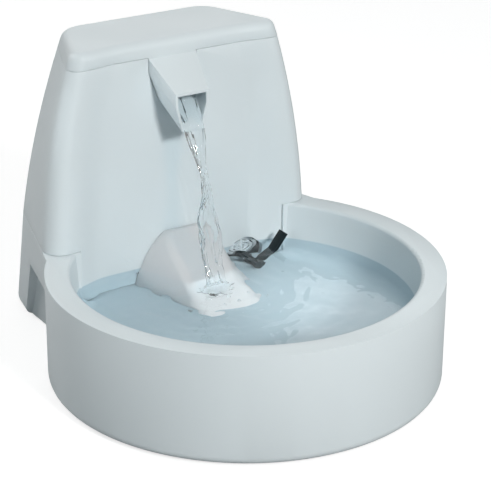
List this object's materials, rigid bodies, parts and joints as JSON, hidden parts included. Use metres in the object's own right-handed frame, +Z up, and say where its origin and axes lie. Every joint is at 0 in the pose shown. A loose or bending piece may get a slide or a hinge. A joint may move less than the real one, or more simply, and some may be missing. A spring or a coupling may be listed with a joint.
{
  "type": "pet water fountain",
  "caption": "Round drinking bowl with a tower behind it whose pump lifts water to a spout, from which it falls onto a ramp in the bowl.",
  "frame": {"origin": "on the bowl's axis, in the plane the fountain stands on, at the centre of the middle foot", "axes": "+Z up; -Y from the tower towards the front of the bowl; +X to the right of someone who faces the spout"},
  "size_m": [0.25, 0.3075, 0.2],
  "materials": {
    "shell": "satin, pale blue-white",
    "rubber": "matt",
    "tube": "satin",
    "dark_plastic": "satin, near black",
    "rotor_plastic": "matt",
    "magnet": "ground ferrite",
    "shaft_steel": "ground",
    "filter_plastic": "matt",
    "charcoal": "fibrous, charcoal grey"
  },
  "bodies": {
    "base": {"basin": "shell", "rubber_feet": "rubber", "filter_frame": "filter_plastic", "filter_charcoal": "charcoal", "pump_cover": "dark_plastic", "pump_motor": "dark_plastic", "cover_seal": "rubber", "intake_screen": "dark_plastic", "suction_cups": "rubber", "rotor_shaft": "shaft_steel", "shaft_bush": "rubber", "riser_tube": "tube", "lead_grommet": "rubber"},
    "tower": {"tower_housing": "shell"},
    "cap": {"top_cap": "shell", "riser_seal": "rubber"},
    "ramp": {"receiving_ramp": "shell"},
    "lever": {"flow_lever": "dark_plastic", "flow_gate": "dark_plastic"},
    "rotor": {"impeller": "rotor_plastic", "rotor_magnet": "magnet"}
  },
  "joints": [
    {"name": "tower_lift", "type": "slide", "parent": "base", "child": "tower", "axis": [0, 0, 1], "range_m": [0, 0.12]},
    {"name": "cap_lift", "type": "slide", "parent": "tower", "child": "cap", "axis": [0, 0, 1], "range_m": [0, 0.06]},
    {"name": "ramp_lift", "type": "slide", "parent": "base", "child": "ramp", "axis": [0, 0, 1], "range_m": [0, 0.065]},
    {"name": "flow_lever_turn", "type": "hinge", "parent": "base", "child": "lever", "pos_m": [0.0485, 0.069, 0.0284], "axis": [0, 1, 0], "range_deg": [0, 30]},
    {"name": "impeller_spin", "type": "hinge", "parent": "base", "child": "rotor", "pos_m": [0.0505, 0.105, 0.038], "axis": [0, 1, 0], "continuous": true}
  ]
}
